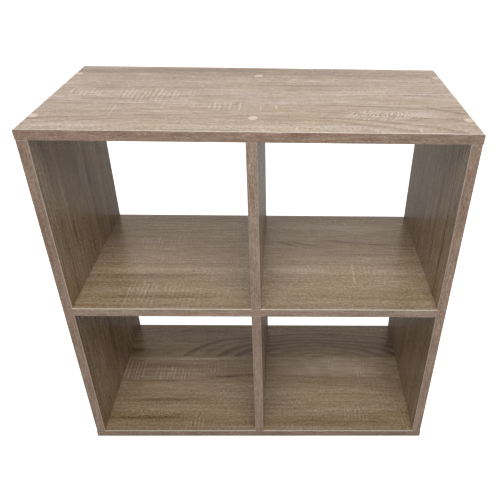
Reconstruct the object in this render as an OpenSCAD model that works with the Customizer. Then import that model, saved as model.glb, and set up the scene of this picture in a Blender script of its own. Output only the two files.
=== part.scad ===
// Open-backed cube storage unit, two compartments wide and two high.
// Seven edge-banded boards are held by confirmat screws and beech dowels, and
// round cover caps hide the screw heads on the top and on both sides.
// Millimetres, +Z up, front face towards -Y, origin under the middle of the base.

/* [Carcass] */
// Width over the outer faces of the two side panels
unit_w = 610; // [520:5:760]
// Height from the underside of the bottom panel to the upper face of the top panel
unit_h = 610; // [520:5:760]
// Depth from the front face to the back face, edge bands included
unit_d = 298; // [260:2:400]
// Thickness of every board
board_t = 15; // [15:0.5:18]
// How far the top and bottom panels stand past each side panel
end_overhang = 0.5; // [0:0.1:1]

/* [Edge bands] */
// Thickness of the band on every long edge, which is also the radius of its arrises
band_t = 1; // [0.6:0.1:1.5]
// Thickness and arris radius of the band on the ends of the top and bottom panels
end_band_t = 2; // [1:0.5:3]

/* [Confirmat screws] */
// Overall length, head included
screw_len = 50; // [48:1:60]
// Diameter of the shank and of the thread's crest
screw_d = 7; // [6.3:0.1:7]
// Diameter of the thread's core
screw_core_d = 4.8; // [4.4:0.1:5]
// Diameter of the countersunk head
head_d = 10; // [9:0.5:11]
// Height of the straight rim above the head's cone
head_rim = 0.6; // [0.4:0.1:0.8]
// Length of head and plain shank together
shank_len = 12; // [10:0.5:13]
// Distance from one thread turn to the next
thread_pitch = 3; // [2.5:0.5:4]
// Size of the hexagon socket, across its flats
socket_af = 4; // [4:0.5:5]
// Depth of the hexagon socket
socket_depth = 3; // [2:0.5:4]
// How far the head is sunk below the board's face
head_sunk = 0.3; // [0.2:0.1:0.5]
// Distance of each screw from the front or the back face
screw_inset = 50; // [40:1:60]

/* [Dowels] */
// Diameter of the fluted beech dowels
dowel_d = 6; // [6:1:8]
// Length of a dowel
dowel_len = 30; // [28:1:35]
// Length of a dowel that sits in the face of a board
dowel_in_face = 10; // [8:0.5:11]
// Number of glue flutes round a dowel
dowel_flutes = 12; // [8:2:16]
// Distance of each dowel from the front or the back face
dowel_inset = 95; // [85:1:115]

/* [Cover caps] */
// Diameter of the cap over each screw head
cap_d = 14; // [12:0.5:15]
// Thickness of a cap
cap_t = 0.5; // [0.4:0.1:1]

/* [Hidden] */
$fn = 48;

board_colour = [0.66, 0.58, 0.49];
band_colour = [0.56, 0.47, 0.41];
screw_colour = [0.75, 0.75, 0.77];
dowel_colour = [0.85, 0.70, 0.50];
cap_colour = [0.84, 0.74, 0.66];

cap_board_len = unit_w + 2 * end_overhang;
core_d = unit_d - 2 * band_t;
side_h = unit_h - 2 * board_t;
shelf_w = unit_w - 2 * board_t;
divider_h = (unit_h - 3 * board_t) / 2;
side_x = (unit_w - board_t) / 2;
shelf_z = unit_h / 2;
divider_z = board_t + divider_h / 2;

joint_columns = [-side_x, 0, side_x];
screw_rows = [-(unit_d / 2 - screw_inset), unit_d / 2 - screw_inset];
dowel_rows = [-(unit_d / 2 - dowel_inset), unit_d / 2 - dowel_inset];

head_cone = (head_d - screw_d) / 2;
tip_len = 3;
tip_d = 1.6;
ridge_base = 1.1;
ridge_crest = 0.3;
ridge_lead = 0.6;
ridge_count = floor((screw_len - shank_len - tip_len) / thread_pitch);
screw_clearance = 0.05;
dowel_clearance = 0.03;
glue_gap = 0.5;
dowel_chamfer = 1;
flute_r = 0.35;
cap_chamfer = 0.2;
overcut = 1;

// Where the fasteners go. Each module puts its children at every place of one
// group. A screw's own +Z points out of the face that its head is sunk in, and a
// dowel's own +Z points into the board that is drilled in its face.

module top_screw_places(columns) {
    for (x = columns, y = screw_rows)
        translate([x, y, unit_h]) children();
}

module bottom_screw_places(columns) {
    for (x = columns, y = screw_rows)
        translate([x, y, 0]) mirror([0, 0, 1]) children();
}

module shelf_screw_places(sides) {
    for (side = sides, y = screw_rows)
        translate([side * unit_w / 2, y, shelf_z]) rotate([0, side * 90, 0]) children();
}

module divider_screw_places() {
    for (y = screw_rows)
        translate([0, y, shelf_z - board_t / 2]) mirror([0, 0, 1]) children();
}

module top_dowel_places(columns) {
    for (x = columns, y = dowel_rows)
        translate([x, y, unit_h - board_t]) children();
}

module bottom_dowel_places(columns) {
    for (x = columns, y = dowel_rows)
        translate([x, y, board_t]) mirror([0, 0, 1]) children();
}

module shelf_dowel_places(sides) {
    for (side = sides, y = dowel_rows)
        translate([side * shelf_w / 2, y, shelf_z]) rotate([0, side * 90, 0]) children();
}

module divider_dowel_places() {
    for (y = dowel_rows)
        translate([0, y, shelf_z - board_t / 2]) children();
}

// Half outline of a screw below its head, grown by c all round. The thread is
// drawn as one ring for each turn.
function screw_outline(c) = concat(
    [
        [head_d / 2 + c, -head_sunk - head_rim - c],
        [screw_d / 2 + c, -head_sunk - head_rim - head_cone - c],
        [screw_d / 2 + c, -head_sunk - shank_len - c],
        [screw_core_d / 2 + c, -head_sunk - shank_len - c]
    ],
    [
        for (i = [1 : ridge_count])
        let (z = -head_sunk - shank_len - (i - 1 + ridge_lead) * thread_pitch)
        each [
            [screw_core_d / 2 + c, z + ridge_base / 2 + c],
            [screw_d / 2 + c, z + ridge_crest / 2 + c],
            [screw_d / 2 + c, z - ridge_crest / 2 - c],
            [screw_core_d / 2 + c, z - ridge_base / 2 - c]
        ]
    ],
    [
        [screw_core_d / 2 + c, -head_sunk - screw_len + tip_len],
        [tip_d / 2 + c, -head_sunk - screw_len - c],
        [0, -head_sunk - screw_len - c]
    ]
);

module confirmat_screw() {
    difference() {
        rotate_extrude()
            polygon(concat([[0, -head_sunk], [head_d / 2, -head_sunk]], screw_outline(0)));
        translate([0, 0, -head_sunk - socket_depth])
            cylinder(d = socket_af / cos(30), h = socket_depth + overcut, $fn = 6);
    }
}

// The drilled, countersunk and thread-cut hole of one screw.
module screw_hole() {
    rotate_extrude()
        polygon(concat(
            [[0, overcut], [head_d / 2 + screw_clearance, overcut]],
            screw_outline(screw_clearance)
        ));
}

module fluted_dowel() {
    edge_end = dowel_in_face - dowel_len;
    intersection() {
        translate([0, 0, edge_end])
            linear_extrude(dowel_len)
                difference() {
                    circle(d = dowel_d);
                    for (i = [0 : dowel_flutes - 1])
                        rotate(i * 360 / dowel_flutes) translate([dowel_d / 2, 0]) circle(r = flute_r);
                }
        rotate_extrude()
            polygon([
                [0, edge_end],
                [dowel_d / 2 - dowel_chamfer, edge_end],
                [dowel_d / 2 + overcut, edge_end + dowel_chamfer + overcut],
                [dowel_d / 2 + overcut, dowel_in_face - dowel_chamfer - overcut],
                [dowel_d / 2 - dowel_chamfer, dowel_in_face],
                [0, dowel_in_face]
            ]);
    }
}

module dowel_hole() {
    translate([0, 0, dowel_in_face - dowel_len - glue_gap])
        cylinder(d = dowel_d + 2 * dowel_clearance, h = dowel_len + 2 * glue_gap);
}

module cover_cap() {
    rotate_extrude()
        polygon([
            [0, 0],
            [cap_d / 2, 0],
            [cap_d / 2, cap_t - cap_chamfer],
            [cap_d / 2 - cap_chamfer, cap_t],
            [0, cap_t]
        ]);
}

// Edge bands. The strip runs along Z with its glued face on the plane Y = 0 and
// its rounded face towards -Y.

module band_profile(t) {
    intersection() {
        translate([-board_t / 2, -t]) square([board_t, t]);
        union() {
            for (side = [-1, 1])
                translate([side * (board_t / 2 - t), 0]) circle(r = t);
            translate([-board_t / 2 + t, -t]) square([board_t - 2 * t, t]);
        }
    }
}

module band_strip(length, t) {
    linear_extrude(length, center = true) band_profile(t);
}

// Upright front band of a side panel or a divider.
module upright_band(x, z, length) {
    translate([x, -core_d / 2, z]) band_strip(length, band_t);
}

// Level front band of a shelf.
module level_band(z, length) {
    translate([0, -core_d / 2, z]) rotate([0, 90, 0]) band_strip(length, band_t);
}

// Front band of a top or bottom panel, with its corners rounded over the end bands.
module cornered_band(z) {
    r = end_band_t;
    intersection() {
        level_band(z, cap_board_len);
        translate([0, -core_d / 2 + overcut, z])
            rotate([90, 0, 0])
                linear_extrude(band_t + 2 * overcut)
                    union() {
                        for (sx = [-1, 1], sz = [-1, 1])
                            translate([sx * (cap_board_len / 2 - r), sz * (board_t / 2 - r)]) circle(r = r);
                        square([cap_board_len - 2 * r, board_t], center = true);
                        square([cap_board_len, board_t - 2 * r], center = true);
                    }
    }
}

// Right end band of a top or bottom panel.
module end_band(z) {
    translate([cap_board_len / 2 - end_band_t, 0, z])
        rotate([0, 90, 90]) band_strip(core_d, end_band_t);
}

module to_back() {
    mirror([0, 1, 0]) children();
}

module to_left() {
    mirror([1, 0, 0]) children();
}

// Boards

module board_blank(size, z) {
    translate([0, 0, z]) cube(size, center = true);
}

module cap_board_blank(z) {
    board_blank([cap_board_len - 2 * end_band_t, core_d, board_t], z);
}

module top_panel() {
    color(board_colour) difference() {
        cap_board_blank(unit_h - board_t / 2);
        top_screw_places(joint_columns) screw_hole();
        top_dowel_places(joint_columns) dowel_hole();
    }
}

module bottom_panel() {
    color(board_colour) difference() {
        cap_board_blank(board_t / 2);
        bottom_screw_places(joint_columns) screw_hole();
        bottom_dowel_places(joint_columns) dowel_hole();
    }
}

module side_panel(side) {
    difference() {
        translate([side * side_x, 0, 0]) board_blank([board_t, core_d, side_h], shelf_z);
        top_screw_places([side * side_x]) screw_hole();
        top_dowel_places([side * side_x]) dowel_hole();
        bottom_screw_places([side * side_x]) screw_hole();
        bottom_dowel_places([side * side_x]) dowel_hole();
        shelf_screw_places([side]) screw_hole();
        shelf_dowel_places([side]) dowel_hole();
    }
}

module left_side_panel() {
    color(board_colour) side_panel(-1);
}

module right_side_panel() {
    color(board_colour) side_panel(1);
}

module middle_shelf() {
    color(board_colour) difference() {
        board_blank([shelf_w, core_d, board_t], shelf_z);
        shelf_screw_places([-1, 1]) screw_hole();
        shelf_dowel_places([-1, 1]) dowel_hole();
        divider_screw_places() screw_hole();
        divider_dowel_places() dowel_hole();
    }
}

module upper_divider() {
    color(board_colour) difference() {
        board_blank([board_t, core_d, divider_h], unit_h - divider_z);
        top_screw_places([0]) screw_hole();
        top_dowel_places([0]) dowel_hole();
        divider_screw_places() screw_hole();
    }
}

module lower_divider() {
    color(board_colour) difference() {
        board_blank([board_t, core_d, divider_h], divider_z);
        bottom_screw_places([0]) screw_hole();
        bottom_dowel_places([0]) dowel_hole();
        divider_dowel_places() dowel_hole();
    }
}

// Bands on the boards

module top_front_band() {
    color(band_colour) cornered_band(unit_h - board_t / 2);
}

module top_back_band() {
    color(band_colour) to_back() cornered_band(unit_h - board_t / 2);
}

module top_left_band() {
    color(band_colour) to_left() end_band(unit_h - board_t / 2);
}

module top_right_band() {
    color(band_colour) end_band(unit_h - board_t / 2);
}

module bottom_front_band() {
    color(band_colour) cornered_band(board_t / 2);
}

module bottom_back_band() {
    color(band_colour) to_back() cornered_band(board_t / 2);
}

module bottom_left_band() {
    color(band_colour) to_left() end_band(board_t / 2);
}

module bottom_right_band() {
    color(band_colour) end_band(board_t / 2);
}

module left_side_front_band() {
    color(band_colour) upright_band(-side_x, shelf_z, side_h);
}

module left_side_back_band() {
    color(band_colour) to_back() upright_band(-side_x, shelf_z, side_h);
}

module right_side_front_band() {
    color(band_colour) upright_band(side_x, shelf_z, side_h);
}

module right_side_back_band() {
    color(band_colour) to_back() upright_band(side_x, shelf_z, side_h);
}

module shelf_front_band() {
    color(band_colour) level_band(shelf_z, shelf_w);
}

module shelf_back_band() {
    color(band_colour) to_back() level_band(shelf_z, shelf_w);
}

module upper_divider_front_band() {
    color(band_colour) upright_band(0, unit_h - divider_z, divider_h);
}

module upper_divider_back_band() {
    color(band_colour) to_back() upright_band(0, unit_h - divider_z, divider_h);
}

module lower_divider_front_band() {
    color(band_colour) upright_band(0, divider_z, divider_h);
}

module lower_divider_back_band() {
    color(band_colour) to_back() upright_band(0, divider_z, divider_h);
}

// Fasteners and cover caps

module top_screws() {
    color(screw_colour) top_screw_places(joint_columns) confirmat_screw();
}

module bottom_screws() {
    color(screw_colour) bottom_screw_places(joint_columns) confirmat_screw();
}

module shelf_screws() {
    color(screw_colour) shelf_screw_places([-1, 1]) confirmat_screw();
}

module divider_screws() {
    color(screw_colour) divider_screw_places() confirmat_screw();
}

module top_dowels() {
    color(dowel_colour) top_dowel_places(joint_columns) fluted_dowel();
}

module bottom_dowels() {
    color(dowel_colour) bottom_dowel_places(joint_columns) fluted_dowel();
}

module shelf_dowels() {
    color(dowel_colour) shelf_dowel_places([-1, 1]) fluted_dowel();
}

module divider_dowels() {
    color(dowel_colour) divider_dowel_places() fluted_dowel();
}

module top_cover_caps() {
    color(cap_colour) top_screw_places(joint_columns) cover_cap();
}

module side_cover_caps() {
    color(cap_colour) shelf_screw_places([-1, 1]) cover_cap();
}

top_panel();
top_front_band();
top_back_band();
top_left_band();
top_right_band();
bottom_panel();
bottom_front_band();
bottom_back_band();
bottom_left_band();
bottom_right_band();
left_side_panel();
left_side_front_band();
left_side_back_band();
right_side_panel();
right_side_front_band();
right_side_back_band();
middle_shelf();
shelf_front_band();
shelf_back_band();
upper_divider();
upper_divider_front_band();
upper_divider_back_band();
lower_divider();
lower_divider_front_band();
lower_divider_back_band();
top_screws();
bottom_screws();
shelf_screws();
divider_screws();
top_dowels();
bottom_dowels();
shelf_dowels();
divider_dowels();
top_cover_caps();
side_cover_caps();
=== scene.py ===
"""Looks of the open-backed cube storage unit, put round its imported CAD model.

Lengths are in metres for objects. Materials work in millimetres, in coordinates that
run along the grain, across it and through the board's thickness.
"""

import math

import bpy
from mathutils import Matrix, Vector


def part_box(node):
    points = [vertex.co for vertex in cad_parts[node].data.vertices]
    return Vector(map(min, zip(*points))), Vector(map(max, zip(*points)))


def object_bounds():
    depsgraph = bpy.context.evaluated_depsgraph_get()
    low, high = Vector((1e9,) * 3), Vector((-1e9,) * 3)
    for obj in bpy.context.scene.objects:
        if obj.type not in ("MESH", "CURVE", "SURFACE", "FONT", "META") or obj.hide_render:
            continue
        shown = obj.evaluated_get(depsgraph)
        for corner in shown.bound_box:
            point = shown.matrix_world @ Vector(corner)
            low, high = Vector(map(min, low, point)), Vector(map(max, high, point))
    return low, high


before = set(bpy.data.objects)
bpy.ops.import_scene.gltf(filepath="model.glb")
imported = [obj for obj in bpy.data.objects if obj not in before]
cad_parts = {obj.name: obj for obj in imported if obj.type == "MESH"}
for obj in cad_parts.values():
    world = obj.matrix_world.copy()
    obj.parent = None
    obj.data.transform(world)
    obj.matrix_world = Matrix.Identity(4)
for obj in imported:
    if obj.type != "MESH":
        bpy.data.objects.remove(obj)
cad_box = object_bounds()

MM = 0.001


# ---------------------------------------------------------------- node values


class Value:
    """One number of a material's node tree. Arithmetic on it adds Math nodes."""

    def __init__(self, tree, socket):
        self.tree = tree
        self.socket = socket

    def __add__(self, other):
        return maths("ADD", self, other)

    def __radd__(self, other):
        return maths("ADD", other, self)

    def __sub__(self, other):
        return maths("SUBTRACT", self, other)

    def __rsub__(self, other):
        return maths("SUBTRACT", other, self)

    def __mul__(self, other):
        return maths("MULTIPLY", self, other)

    def __rmul__(self, other):
        return maths("MULTIPLY", other, self)

    def __truediv__(self, other):
        return maths("DIVIDE", self, other)

    def __abs__(self):
        return maths("ABSOLUTE", self)


def feed(tree, socket, value):
    """Links a node value to an input, or sets the input to a plain number or colour."""
    if isinstance(value, Value):
        tree.links.new(value.socket, socket)
    else:
        socket.default_value = value


def node(tree, kind, inputs, output=0, **settings):
    """Adds one node and returns one of its outputs as a value."""
    made = tree.nodes.new("ShaderNode" + kind)
    for name, setting in settings.items():
        setattr(made, name, setting)
    for key, value in inputs.items():
        feed(tree, made.inputs[key], value)
    return Value(tree, made.outputs[output])


def maths(operation, *values):
    tree = next(v.tree for v in values if isinstance(v, Value))
    return node(tree, "Math", dict(enumerate(values)), operation=operation)


def vector_maths(operation, *values):
    tree = next(v.tree for v in values if isinstance(v, Value))
    return node(tree, "VectorMath", dict(enumerate(values)), operation=operation)


def vector(tree, x, y, z):
    return node(tree, "CombineXYZ", {0: x, 1: y, 2: z})


def parts(value):
    """The three numbers of a vector."""
    split = value.tree.nodes.new("ShaderNodeSeparateXYZ")
    value.tree.links.new(value.socket, split.inputs[0])
    return [Value(value.tree, output) for output in split.outputs]


def fade(value, start, end, low=0.0, high=1.0):
    """low below start, high above end, and a smooth step between them."""
    inputs = {"Value": value, "From Min": start, "From Max": end, "To Min": low, "To Max": high}
    return node(value.tree, "MapRange", inputs, interpolation_type="SMOOTHSTEP")


def noise(place, size, detail=2.0, roughness=0.5):
    """Soft noise round 0.5 whose blobs measure size, three lengths in millimetres."""
    scaled = vector_maths("DIVIDE", place, size)
    inputs = {"Vector": scaled, "Scale": 1.0, "Detail": detail, "Roughness": roughness}
    return node(place.tree, "TexNoise", inputs)


def chance(value, seed):
    """A number from 0 to 1 for each whole number."""
    return node(value.tree, "TexWhiteNoise", {"W": value + seed}, noise_dimensions="1D")


def blend(tree, share, first, second):
    """A colour that goes from first to second as share goes from 0 to 1."""
    inputs = {0: share, 6: first, 7: second}
    return node(tree, "Mix", inputs, output=2, data_type="RGBA")


def shade(tree, value, stops):
    """The colour at value on a ramp of (position, colour) stops."""
    made = tree.nodes.new("ShaderNodeValToRGB")
    feed(tree, made.inputs[0], value)
    elements = made.color_ramp.elements
    while len(elements) < len(stops):
        elements.new(1.0)
    for element, (position, colour) in zip(elements, stops):
        element.position = position
        element.color = colour
    return Value(tree, made.outputs[0])


def srgb(red, green, blue):
    """A colour given as screen values from 0 to 255, in the linear values that nodes take."""
    linear = [((c / 255 + 0.055) / 1.055) ** 2.4 for c in (red, green, blue)]
    return (*linear, 1.0)


def new_tree(name):
    material = bpy.data.materials.new(name)
    material.use_nodes = True
    material.node_tree.nodes.clear()
    return material, material.node_tree


def millimetres(tree, order):
    """The surface point in millimetres, with its axes in the given order."""
    coordinates = tree.nodes.new("ShaderNodeTexCoord")
    point = parts(Value(tree, coordinates.outputs["Object"]))
    return vector(tree, *[point["XYZ".index(axis)] / MM for axis in order])


def finish_surface(tree, colour, roughness, height, depth, **constants):
    """Ends a material in one Principled shader. height is bump, in units of depth metres."""
    bump = node(tree, "Bump", {"Strength": 1.0, "Distance": depth, "Height": height})
    shader = tree.nodes.new("ShaderNodeBsdfPrincipled")
    feed(tree, shader.inputs["Base Color"], colour)
    feed(tree, shader.inputs["Roughness"], roughness)
    tree.links.new(bump.socket, shader.inputs["Normal"])
    for name, value in constants.items():
        shader.inputs[name.replace("_", " ")].default_value = value
    output = tree.nodes.new("ShaderNodeOutputMaterial")
    tree.links.new(shader.outputs[0], output.inputs["Surface"])


# ------------------------------------------------------------ printed boards

OAK_INKS = (srgb(103, 77, 44), srgb(164, 141, 111), srgb(212, 197, 176))
# Paler inks for the top board: partly its own print, partly painted light where the top gets the
# most light
PALE_LIT_OAK_INKS = (srgb(136, 106, 76), srgb(188, 163, 137), srgb(231, 217, 203))
OLIVE_CAST = (1.0, 1.0, 0.96, 1.0)
ROSE_CAST = (1.0, 1.0, 1.05, 1.0)
# Pale strip along the boards' front and back edges: wear, made paler as a painted highlight beside
# the arris
EDGE_WORN_HIGHLIGHT = srgb(240, 226, 208)
CHIP_DARK = srgb(112, 84, 54)
CHIP_LIGHT = srgb(206, 176, 132)
CHIP_ROUGHNESS = 0.85

# Millimetres: how far the second plank's print lies from the first's, the distance between
# saw cuts and between growth rings, over which depth the printed skin gives way to raw
# board, and how far from the front and back edges the print is rubbed pale and painted
# paler still as a highlight.
PLANK_JUMP = (911.0, 0.0, 57.0)
CUT_PITCH = 7.4
RING_PITCH = 10.5
SKIN_DEPTH = (0.15, 0.35)
WORN_HIGHLIT_EDGE = (0.3, 1.5)

# What full strength of each mark adds to the tone of the print, which goes from 0 to 1
CUT_TONE = 0.45
FLAKE_TONE = 0.95


def cut_mask(along, across, cut):
    """The strength inside a patch of saw cuts (along, across, half length, half width, strength),
    0 outside it, with soft sides."""
    middle_along, middle_across, half_length, half_width, strength = cut
    side = fade(abs(along - middle_along) - half_length, -2.0, 2.0, strength, 0.0)
    end = fade(abs(across - middle_across) - half_width, -3.0, 3.0, 1.0, 0.0)
    return side * end


def saw_cuts(place, cuts):
    """Pale strokes that a saw blade left across the grain, in the given patches, with the darker
    grain between them. They differ in length, place and strength, and the grain breaks them up."""
    along, across, _ = parts(place)
    wander = noise(place, (40.0, 30.0, 9.0)) * 4.0
    turn = (along + wander) / CUT_PITCH
    index = maths("FLOOR", turn)
    offset = maths("FRACT", turn) - 0.5 + (chance(index, 3.5) - 0.5) * 0.22
    profile = fade(abs(offset), 0.02, 0.42, 1.0, -0.3)
    reach = across + (chance(index, 0.5) - 0.5) * 14.0
    cover = 0.0
    for cut in cuts:
        cover = maths("MAXIMUM", cut_mask(along, reach, cut), cover)
    strength = 0.5 + 0.5 * chance(index, 7.5)
    broken = fade(noise(place, (18.0, 5.0, 5.0)), 0.3, 0.55, 0.45, 1.0)
    return profile * cover * strength * broken


def soft_oval(along, across, shape):
    """1 in the middle of a soft oval streak (along, across, half length, half width, tilt)."""
    middle_along, middle_across, half_length, half_width, tilt = shape
    lengthwise = along - middle_along
    sideways = (across - middle_across - lengthwise * tilt) / half_width
    lengthwise = lengthwise / half_length
    reach = maths("SQRT", lengthwise * lengthwise + sideways * sideways)
    return fade(reach, 0.1, 1.0, 1.0, 0.0)


def ray_flakes(place, shape):
    """Pale curly lines across the grain, where the wood's rays come to the surface."""
    along, across, _ = parts(place)
    bend = noise(place, (26.0, 20.0, 9.0), detail=1.0) * 26.0
    wave = maths("SINE", along + bend - across * 0.5)
    broken = fade(noise(place, (8.0, 16.0, 5.0), detail=1.0), 0.38, 0.55)
    middle_along, middle_across, half_length, half_width = shape
    lengthwise = (along - middle_along) / half_length
    sideways = (across - middle_across) / half_width
    reach = maths("SQRT", lengthwise * lengthwise + sideways * sideways)
    return fade(wave, 0.2, 0.95) * broken * fade(reach, 0.7, 1.0, 1.0, 0.0)


def growth_rings(place, arch):
    """Dark latewood rings, each sharp on its outer side. They bend round the middle of an arch
    (along, across, slope, reach) and fade beyond its reach."""
    middle_along, middle_across, slope, reach = arch
    along, across, _ = parts(place)
    drift = (noise(place, (170.0, 50.0, 9.0)) - 0.5) * 20.0
    ripple = (noise(place, (40.0, 12.0, 9.0)) - 0.5) * 5.0
    lengthwise = (along - middle_along) * slope
    sideways = across - middle_across + drift + ripple
    radius = maths("SQRT", lengthwise * lengthwise + sideways * sideways)
    turn = maths("FRACT", radius / RING_PITCH)
    weight = 0.15 + 0.85 * chance(maths("FLOOR", radius / RING_PITCH), 11.5)
    near = fade(radius / reach, 0.7, 1.2, 1.0, 0.15)
    return fade(turn, 0.3, 0.9) * fade(turn, 0.92, 1.0, 1.0, 0.0) * weight * near


def chipboard(place):
    """Raw particle board, as cut edges and drilled holes show it."""
    scaled = vector_maths("DIVIDE", place, (2.6, 1.4, 1.1))
    flakes = node(place.tree, "TexVoronoi", {"Vector": scaled})
    tone = flakes + noise(place, (9.0, 9.0, 5.0)) * 0.6
    return shade(place.tree, tone, [(0.2, CHIP_DARK), (0.9, CHIP_LIGHT)])


def board_rings(plank, second, print_plan):
    """The growth rings of both planks. second is 1 on the second plank and 0 on the first."""
    first_arch = print_plan["arches"][0]
    last_arch = print_plan["arches"][-1]
    arch = [one + (other - one) * second for one, other in zip(first_arch, last_arch)]
    darkness = arch.pop()
    arch[0] = arch[0] + PLANK_JUMP[0] * second
    clouded = fade(noise(plank, (130.0, 30.0, 9.0)), 0.3, 0.6, 0.5, 1.0)
    return growth_rings(plank, arch) * clouded * darkness


def board_marks(place, print_plan):
    """What the stains, the painted shade and light, and the ray flakes of a plan add to the tone.
    """
    along, across, _ = parts(place)
    tone = 0.0
    for *shape, change in print_plan["stains_and_painted_light"]:
        tone = soft_oval(along, across, shape) * change + tone
    for shape in print_plan["flakes"]:
        tone = ray_flakes(place, shape) * FLAKE_TONE + tone
    return tone


def board_material(name, print_plan, low, high):
    """Melamine board printed with rough-sawn pale oak, as one plan of BOARDS lays it out. low and
    high are the corners of its box, along, across and through it, in millimetres."""
    material, tree = new_tree(name)
    place = millimetres(tree, print_plan["order"])
    _, across, through = parts(place)
    second = maths("GREATER_THAN", across, print_plan["seam"])
    jump = node(tree, "VectorMath", {0: PLANK_JUMP, "Scale": second}, operation="SCALE")
    plank = vector_maths("ADD", place, jump)

    bands = noise(plank, (420.0, 30.0, 9.0), detail=1.0)
    streaks = noise(plank, (90.0, 5.0, 5.0), roughness=0.6)
    dashes = noise(plank, (30.0, 2.8, 5.0), roughness=0.6)
    fibres = noise(plank, (22.0, 1.2, 5.0), roughness=0.65)
    flecks = noise(plank, (5.0, 3.2, 5.0), detail=1.0)
    woven = fade(noise(plank, (60.0, 36.0, 9.0)), 0.4, 0.62, 0.3, 1.0)
    weave = noise(plank, (2.2, 7.0, 5.0), detail=1.0)
    # In front of the border the long lines weaken and the short flecks take over
    border = across + (noise(plank, (90.0, 40.0, 9.0)) - 0.5) * 80.0 - print_plan["curly"]
    curly = fade(border, -25.0, 25.0, 1.0, 0.0)
    lines = (streaks - 0.5) * 0.7 + (dashes - 0.5) * 0.8 + (fibres - 0.5) * 0.4
    grain = lines * (1.0 - curly * 0.45) + (flecks - 0.5) * (0.5 + curly * 0.3)
    grain = grain + (weave - 0.5) * woven * 0.6

    cuts = saw_cuts(place, print_plan["cuts"])
    tone = print_plan["tone"] + second * print_plan["step"] + (bands - 0.5) * 0.5
    tone = tone + grain * print_plan["grain"] + cuts * CUT_TONE
    tone = tone - board_rings(plank, second, print_plan) + board_marks(place, print_plan)
    dark, medium, light = print_plan["inks"]
    decor = shade(tree, tone, [(0.0, dark), (0.5, medium), (1.0, light)])
    cast = blend(tree, fade(noise(plank, (140.0, 45.0, 9.0)), 0.35, 0.65), OLIVE_CAST, ROSE_CAST)
    decor = vector_maths("MULTIPLY", decor, cast)
    edge = maths("MINIMUM", across - low[1], high[1] - across)
    # Wear along the front and back edges, plus a painted highlight
    worn_and_highlit = fade(edge, *WORN_HIGHLIT_EDGE, 0.8, 0.0) * fade(flecks, 0.3, 0.6, 0.6, 1.0)
    decor = blend(tree, worn_and_highlit, decor, EDGE_WORN_HIGHLIGHT)

    depth = maths("MINIMUM", through - low[2], high[2] - through)
    skin = fade(depth, *SKIN_DEPTH, 1.0, 0.0)
    colour = blend(tree, skin, chipboard(place), decor)
    pores = fade(noise(plank, (9.0, 0.5, 5.0), detail=1.0), 0.6, 0.7)
    satin = 0.25 + pores * 0.1 + (bands - 0.5) * 0.08
    roughness = CHIP_ROUGHNESS + skin * (satin - CHIP_ROUGHNESS)
    height = fibres * 0.4 - pores * 0.5 + cuts * 0.3
    finish_surface(tree, colour, roughness, height, 0.05 * MM, IOR=1.5)
    return material


# ---------------------------------------------------------------- edge bands

BAND_DARK = srgb(134, 105, 89)
BAND_MIDDLE = srgb(185, 157, 136)
BAND_LIGHT = srgb(228, 206, 187)
# Near white: the pale of rubbed arrises, brightened further as a painted highlight along them
BAND_RUBBED_HIGHLIGHT = srgb(252, 245, 236)
# Painted shade: how much lower the tone is on the bands that are made darker than the lamps light
# them, most on the bottom band
BAND_PAINTED_SHADE = {
    "top_front_band": -0.11,
    "bottom_front_band": -0.2,
    "left_side_front_band": -0.12,
    "right_side_front_band": -0.05,
    "lower_divider_front_band": -0.06,
}


def band_material(name, order, broad_side, change):
    """Printed plastic edge band whose grain runs along it, with a change of tone, which is painted
    shade on the darker bands.
    Its arrises and narrow sides, away from the broad side that faces along one axis, are rubbed
    pale and carry a painted highlight."""
    material, tree = new_tree(name)
    place = millimetres(tree, order)
    streaks = noise(place, (30.0, 2.0, 2.0), detail=3.0, roughness=0.6)
    flecks = noise(place, (8.0, 1.2, 1.2), detail=1.0)
    clouds = noise(place, (70.0, 14.0, 14.0), detail=1.0)
    dashes = noise(place, (4.0, 0.8, 0.8), roughness=0.6)
    # change lowers the tone of some bands as painted shade
    tone = 0.5 + change + (streaks - 0.5) * 1.1 + (dashes - 0.5) * 1.6
    tone = tone + (flecks - 0.5) * 0.6 + (clouds - 0.5) * 0.3
    normal = node(tree, "NewGeometry", {}, output="Normal")
    facing = abs(parts(normal)["XYZ".index(broad_side)])
    # Arrises and narrow sides: real wear, plus a painted highlight
    rubbed_and_highlit = fade(facing, 0.5, 0.95, 1.0, 0.0) * fade(flecks, 0.2, 0.5, 0.75, 1.0)
    printed = shade(tree, tone, [(0.0, BAND_DARK), (0.5, BAND_MIDDLE), (1.0, BAND_LIGHT)])
    colour = blend(tree, rubbed_and_highlit, printed, BAND_RUBBED_HIGHLIGHT)
    roughness = 0.34 + (flecks - 0.5) * 0.2 - rubbed_and_highlit * 0.08
    finish_surface(tree, colour, roughness, streaks * 0.5 + flecks * 0.5, 0.04 * MM, IOR=1.49)
    return material


# ------------------------------------------------------------- small pieces


def cap_material():
    """Adhesive cover cap: satin plastic with a faint printed fleck."""
    material, tree = new_tree("cover_cap_plastic")
    place = millimetres(tree, "XYZ")
    clouds = noise(place, (30.0, 14.0, 14.0))
    flecks = noise(place, (2.4, 0.6, 0.6), detail=2.0)
    tone = 0.5 + (clouds - 0.5) * 0.8 + (flecks - 0.5) * 0.5
    colour = shade(tree, tone, [(0.0, srgb(236, 210, 189)), (1.0, srgb(248, 232, 216))])
    roughness = 0.36 + (flecks - 0.5) * 0.2
    finish_surface(tree, colour, roughness, flecks, 0.03 * MM, IOR=1.48)
    return material


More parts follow.
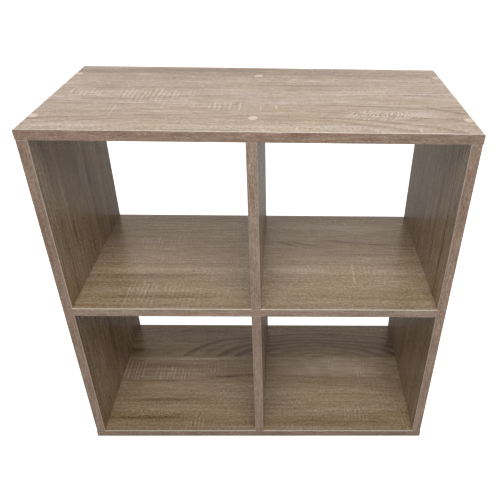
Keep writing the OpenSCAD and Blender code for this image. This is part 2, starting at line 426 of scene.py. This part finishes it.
def zinc_material():
    """Bright zinc plating with fine turning marks and a little tarnish."""
    material, tree = new_tree("zinc_plate")
    place = millimetres(tree, "XYZ")
    spots = noise(place, (3.0, 3.0, 3.0), detail=3.0)
    grain = noise(place, (0.5, 0.5, 0.12), detail=1.0)
    colour = shade(tree, spots, [(0.3, srgb(150, 152, 158)), (0.7, srgb(205, 205, 208))])
    roughness = 0.28 + (spots - 0.5) * 0.3 + (grain - 0.5) * 0.15
    finish_surface(tree, colour, roughness, grain, 0.02 * MM, Metallic=1.0)
    return material


def beech_material():
    """Turned beech dowel with short dark flecks along the grain."""
    material, tree = new_tree("beech")
    place = millimetres(tree, "XYZ")
    grain = noise(place, (0.8, 0.8, 14.0), detail=3.0)
    flecks = fade(noise(place, (0.5, 0.5, 2.2), detail=1.0), 0.6, 0.72)
    tone = grain - flecks * 0.3
    colour = shade(tree, tone, [(0.2, srgb(176, 133, 88)), (0.8, srgb(222, 186, 139))])
    finish_surface(tree, colour, 0.62 + flecks * 0.15, grain - flecks, 0.04 * MM, IOR=1.45)
    return material


# ---------------------------------------------------------- what each node wears

# How the oak print lies on a board, with places and lengths in millimetres. These are the
# values that most boards share, and BOARDS gives each board its own beside them.
#   order   the axes along the grain, across it and through the board
#   inks    the colours of the print, from dark to light
#   tone    where the print lies between those inks, from 0 to 1
#   grain   the strength of the fine grain
#   curly   the place across the board in front of which the grain is short and curly
#   seam    the place across the board behind which a second plank is printed
#   step    the change of tone on the second plank
#   arches  the growth rings of each plank: along, across, slope, reach, darkness
#   cuts    patches of saw cuts: along, across, half length, half width, strength
#    stains  soft streaks: along, across, half length, half width, tilt, change of tone;
#            the ones 40 or more in half width are painted shade and painted light
#   flakes  patches of ray flakes: along, across, half length, half width
SHARED_PLAN = {
    "order": "ZYX",
    "inks": OAK_INKS,
    "tone": 0.53,
    "grain": 1.1,
    "curly": -250.0,
    "seam": 400.0,
    "step": 0.0,
    "flakes": [],
}
BOARDS = {
    "top_panel": {
        "order": "XYZ",
        # Paler inks: partly painted light on the top
        "inks": PALE_LIT_OAK_INKS,
        "grain": 1.3,
        "curly": -120.0,
        "seam": -43.0,
        "arches": [(-60.0, -152.0, 0.18, 200.0, 0.4), (60.0, 330.0, 0.06, 400.0, 0.2)],
        "cuts": [
            (-259, 8, 26, 12, 0.9), (-162, 4, 45, 19, 1.05), (-151, -28, 33, 10, 0.8),
            (-199, -65, 4, 22, 1.2), (-133, -51, 4, 9, 1.1), (-89, -51, 4, 9, 1.1),
            (-55, -53, 13, 13, 0.7), (-34, -57, 4, 15, 1.0), (-19, -57, 4, 15, 1.3),
            (8, -51, 4, 8, 1.2), (33, -50, 4, 7, 1.2), (12, -141, 4, 6, 1.0),
            (59, -141, 4, 6, 1.0), (168, -141, 4, 6, 1.2), (224, -139, 4, 10, 1.2),
            (-100, 8, 18, 14, 0.4),
        ],
        "stains_and_painted_light": [
            (-150, 78, 160, 8, 0.0, -0.25), (-225, 40, 80, 24, 0.0, -0.15),
            (80, 48, 110, 6, 0.0, -0.5), (95, 29, 125, 4, 0.0, -0.35),
            (-160, 34, 150, 6, 0.0, -0.25), (-110, -8, 160, 5, 0.0, -0.2),
            (-140, 130, 400, 22, 0.06, -0.35), (80, -44, 160, 3, 0.0, -0.22),
            (170, -46, 90, 4, -0.07, -0.3), (238, -76, 30, 22, 0.0, 0.2),
            # (130, 4, 220, 40, ...) is painted light on the right of the top
            (130, 4, 220, 40, 0.0, 0.1), (258, -52, 22, 5, -0.6, -0.7),
            (287, -68, 22, 5, -0.5, -0.5), (-60, -122, 200, 7, 0.0, -0.15),
            (-120, -66, 140, 4, 0.05, -0.2), (-255, -130, 70, 14, 0.0, 0.15),
            (-170, -46, 200, 3, 0.0, -0.2), (-140, -39, 220, 3, 0.0, 0.12),
            (30, -128, 160, 8, 0.0, 0.12), (190, -120, 150, 20, 0.0, 0.1),
            # Painted shade along the whole back of the top
            (0, 118, 500, 40, 0.0, -0.3),
        ],
        "flakes": [(178, -83, 60, 23)],
    },
    "bottom_panel": {
        "order": "XYZ",
        "grain": 0.85,
        "curly": -50.0,
        "seam": 46.0,
        "step": -0.19,
        "arches": [(-120.0, -300.0, 0.05, 400.0, 0.1), (120.0, 38.0, 0.28, 90.0, 0.8)],
        "cuts": [
            (-270, 8, 22, 26, 0.75), (-188, 0, 36, 15, 0.7), (-113, 12, 34, 14, 0.5),
            (146, 16, 6, 12, 0.35), (210, 6, 12, 17, 0.6), (-125, -131, 20, 14, 0.6),
            (180, -110, 22, 13, 0.4), (-259, 76, 3, 26, 0.6), (-168, -141, 3, 8, 0.6),
            (280, -120, 5, 20, 0.5),
        ],
        "stains_and_painted_light": [
            (-190, 18, 110, 7, 0.0, -0.25), (-190, -24, 130, 6, 0.0, -0.2),
            (-70, -12, 90, 6, 0.1, -0.3), (150, -14, 150, 6, 0.0, -0.2),
            (-180, -74, 110, 8, 0.0, -0.2), (60, -132, 240, 10, 0.0, -0.12),
            (-220, -118, 120, 5, 0.0, -0.25), (160, 62, 90, 9, 0.0, 0.12),
            # (140, 14, 210, 40, ...) is painted light on the right of the bottom
            (-250, 60, 90, 20, 0.0, -0.15), (140, 14, 210, 40, 0.0, 0.34),
            (-150, 39, 190, 6, 0.0, 0.2), (-200, -120, 200, 26, 0.0, -0.1),
        ],
    },
    "middle_shelf": {
        "order": "XYZ",
        "grain": 0.92,
        "curly": 0.0,
        "seam": -400.0,
        "arches": [(-40.0, -200.0, 0.05, 400.0, 0.12)],
        "cuts": [
            (-185, 46, 40, 14, 0.5), (-130, 46, 22, 12, 0.25), (-178, -20, 4, 10, 0.4),
            (-192, -104, 24, 27, 0.5), (165, -50, 3, 28, 0.9), (184, -44, 12, 18, 0.3),
            (70, -41, 44, 9, 0.3), (-120, -110, 30, 18, 0.25),
        ],
        "stains_and_painted_light": [
            (-200, -60, 150, 12, 0.0, -0.35), (-150, -114, 170, 14, 0.0, -0.25),
            (46, 44, 32, 3, -0.4, -0.65), (82, 42, 44, 3, -0.35, -0.55),
            (150, 52, 60, 3, -0.15, -0.5), (220, 42, 90, 3, -0.04, -0.35),
            (170, 6, 120, 5, 0.0, -0.2), (70, -41, 70, 12, 0.0, 0.15),
            # (170, 105, 170, 46, ...) is painted light at the back right of the shelf
            (-250, 66, 90, 8, 0.0, -0.15), (170, 105, 170, 46, 0.0, 0.3),
            (240, -72, 50, 3, 0.1, 0.25), (-180, 28, 70, 3, 0.0, 0.2),
        ],
    },
    "left_side_panel": {
        # Lower tone: partly the print's own, partly painted shade on the inner faces
        "tone": 0.47,
        "grain": 1.25,
        "arches": [(330.0, -190.0, 0.08, 400.0, 0.15)],
        "cuts": [(120, 95, 30, 14, 0.5)],
        "stains_and_painted_light": [
            (430, 30, 160, 9, 0.0, -0.35), (440, -70, 150, 9, 0.0, -0.25),
            (150, -20, 150, 14, 0.0, -0.3), (470, 24, 50, 6, 0.06, -0.3),
            (400, 90, 170, 10, 0.0, -0.15), (380, -20, 150, 8, 0.0, 0.12),
            # (150, 10, 140, 60, ...) is painted shade low down, in the lower compartment
            (170, 60, 140, 12, 0.0, -0.3), (150, 10, 140, 60, 0.0, -0.2),
        ],
    },
    "right_side_panel": {
        # Lower tone: partly the print's own, partly painted shade on the inner faces
        "tone": 0.48,
        "grain": 1.2,
        "arches": [(250.0, 210.0, 0.08, 400.0, 0.15)],
        "cuts": [(520, 70, 24, 14, 0.4)],
        "stains_and_painted_light": [
            (430, -60, 160, 10, 0.0, -0.35), (440, 60, 150, 9, 0.0, -0.2),
            (150, 10, 150, 16, 0.0, -0.1), (400, -110, 170, 8, 0.0, -0.3),
            (180, -60, 150, 12, 0.0, -0.1), (400, 0, 170, 9, 0.0, 0.12),
            # Painted light low down, in the lower compartment
            (130, 60, 160, 60, 0.0, 0.1),
        ],
    },
    "upper_divider": {
        "arches": [(430.0, -180.0, 0.08, 400.0, 0.15)],
        "cuts": [(500, 80, 24, 14, 0.5)],
        "stains_and_painted_light": [(450, 20, 150, 14, 0.0, -0.2)],
    },
    "lower_divider": {
        "arches": [(150.0, 200.0, 0.08, 400.0, 0.15)],
        "cuts": [(90, -60, 24, 14, 0.5)],
        "stains_and_painted_light": [(150, -30, 150, 14, 0.0, -0.2)],
    },
}


def wear(names, material):
    """Puts one material on every slot of the named nodes."""
    for name in names:
        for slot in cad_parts[name].material_slots:
            slot.material = material


def dress_boards():
    for name, own_plan in BOARDS.items():
        print_plan = {**SHARED_PLAN, **own_plan}
        axes = ["XYZ".index(axis) for axis in print_plan["order"]]
        low, high = [[corner[axis] / MM for axis in axes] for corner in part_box(name)]
        wear([name], board_material(name + "_print", print_plan, low, high))


def dress_bands():
    """The grain of a band runs along the longest side of its box, and its broad side faces along
    the shortest."""
    groups = {}
    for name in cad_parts:
        if name.endswith("_band"):
            low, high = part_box(name)
            shortest, middle, longest = sorted(range(3), key=lambda axis: high[axis] - low[axis])
            order = "".join("XYZ"[axis] for axis in (longest, middle, shortest))
            # Bands with their own painted shade get their own material
            groups.setdefault((order, BAND_PAINTED_SHADE.get(name, 0.0)), []).append(name)
    for number, ((order, change), names) in enumerate(groups.items()):
        wear(names, band_material(f"edge_band_{number}", order, order[2], change))


# -------------------------------------------------------- floor, light, camera

SURROUND_LIGHT = 0.04
FLOOR_GLOW = 1.0
FLOOR_HALF_WIDTH = 12.0
FLOOR_GAP = 0.2 * MM

WHITE = (1.0, 1.0, 1.0)
WARM_WHITE = (1.0, 0.91, 0.83)
# Each lamp's name, place, target, width and height, power in watts, colour, and whether it
# shows in reflections. Two stand high in front of the unit and one is a bright wall behind
# it. The last two light mostly the outer faces of the side panels.
LAMPS = [
    ("high_softbox", (-0.08, -1.5, 2.3), (0.0, 0.0, 0.45), (2.3, 1.0), 25.0, WHITE, True),
    ("front_softbox", (0.15, -0.65, 1.6), (0.0, 0.0, 0.45), (0.9, 0.5), 5.2, WHITE, True),
    ("back_wall", (0.0, 3.0, 2.05), (0.0, 0.0, 1.2), (6.0, 1.8), 46.0, WARM_WHITE, True),
    ("left_softbox", (-2.6, 0.0, 0.35), (0.0, 0.0, 0.3), (0.28, 0.5), 8.0, WHITE, False),
    ("right_softbox", (2.6, 0.0, 0.35), (0.0, 0.0, 0.3), (0.28, 0.5), 8.0, WHITE, False),
]

CAMERA_PLACE = (0.0435, -0.8150, 0.8740)
CAMERA_TARGET = (0.0628, 0.0, 0.3387)
CAMERA_ROLL = 1.13
CAMERA_LENS = 39.14
CAMERA_SENSOR = 36.0
CAMERA_SHIFT = (-0.0891, -0.0105)


def seen_by_camera(tree):
    """1 where the camera itself looks, 0 for light on its way between surfaces."""
    return node(tree, "LightPath", {}, output="Is Camera Ray")


def studio_floor():
    """A wide pale floor just under the unit. It glows towards the camera, so it looks white."""
    mesh = bpy.data.meshes.new("studio_floor")
    half = FLOOR_HALF_WIDTH
    corners = [(-half, -half, 0.0), (half, -half, 0.0), (half, half, 0.0), (-half, half, 0.0)]
    mesh.from_pydata(corners, [], [(0, 1, 2, 3)])
    floor = bpy.data.objects.new("studio_floor", mesh)
    bpy.context.scene.collection.objects.link(floor)
    floor.location.z = cad_box[0].z - FLOOR_GAP
    material, tree = new_tree("studio_floor")
    place = millimetres(tree, "XYZ")
    clouds = noise(place, (600.0, 600.0, 600.0))
    colour = shade(tree, clouds, [(0.0, srgb(238, 238, 238)), (1.0, srgb(246, 246, 246))])
    finish_surface(tree, colour, 0.7 + (clouds - 0.5) * 0.1, clouds, 0.1 * MM, IOR=1.3)
    shader = next(one for one in tree.nodes if one.type == "BSDF_PRINCIPLED")
    shader.inputs["Emission Color"].default_value = (1.0, 1.0, 1.0, 1.0)
    feed(tree, shader.inputs["Emission Strength"], seen_by_camera(tree) * FLOOR_GLOW)
    mesh.materials.append(material)


def softbox(name, place, target, size, power, colour, mirrored):
    """One lamp that faces its target. mirrored tells whether it shows in reflections."""
    light = bpy.data.lights.new(name, "AREA")
    light.color = colour
    light.shape = "RECTANGLE"
    light.size, light.size_y = size
    light.energy = power
    lamp = bpy.data.objects.new(name, light)
    bpy.context.scene.collection.objects.link(lamp)
    lamp.location = place
    lamp.rotation_euler = (Vector(target) - Vector(place)).to_track_quat("-Z", "Y").to_euler()
    lamp.visible_camera = False
    lamp.visible_glossy = mirrored


def studio_light():
    """Surroundings that look white but shine only softly, and the lamps."""
    world = bpy.data.worlds.new("studio")
    world.use_nodes = True
    tree = world.node_tree
    background = tree.nodes["Background"]
    background.inputs["Color"].default_value = (1.0, 1.0, 1.0, 1.0)
    strength = SURROUND_LIGHT + seen_by_camera(tree) * (1.0 - SURROUND_LIGHT)
    feed(tree, background.inputs["Strength"], strength)
    bpy.context.scene.world = world
    for lamp in LAMPS:
        softbox(*lamp)


def photo_camera():
    """A camera at the photograph's viewing angle, a little above the front of the unit."""
    data = bpy.data.cameras.new("camera")
    data.lens = CAMERA_LENS
    data.sensor_width = CAMERA_SENSOR
    data.shift_x, data.shift_y = CAMERA_SHIFT
    camera = bpy.data.objects.new("camera", data)
    bpy.context.scene.collection.objects.link(camera)
    camera.location = CAMERA_PLACE
    aim = (Vector(CAMERA_TARGET) - Vector(CAMERA_PLACE)).to_track_quat("-Z", "Y")
    roll = Matrix.Rotation(math.radians(CAMERA_ROLL), 4, "Z")
    camera.rotation_euler = (aim.to_matrix().to_4x4() @ roll).to_euler()
    bpy.context.scene.camera = camera


dress_boards()
dress_bands()
wear(["top_cover_caps", "side_cover_caps"], cap_material())
wear(["top_screws", "bottom_screws", "shelf_screws", "divider_screws"], zinc_material())
wear(["top_dowels", "bottom_dowels", "shelf_dowels", "divider_dowels"], beech_material())
studio_floor()
studio_light()
photo_camera()
bpy.context.scene.view_settings.view_transform = "Standard"
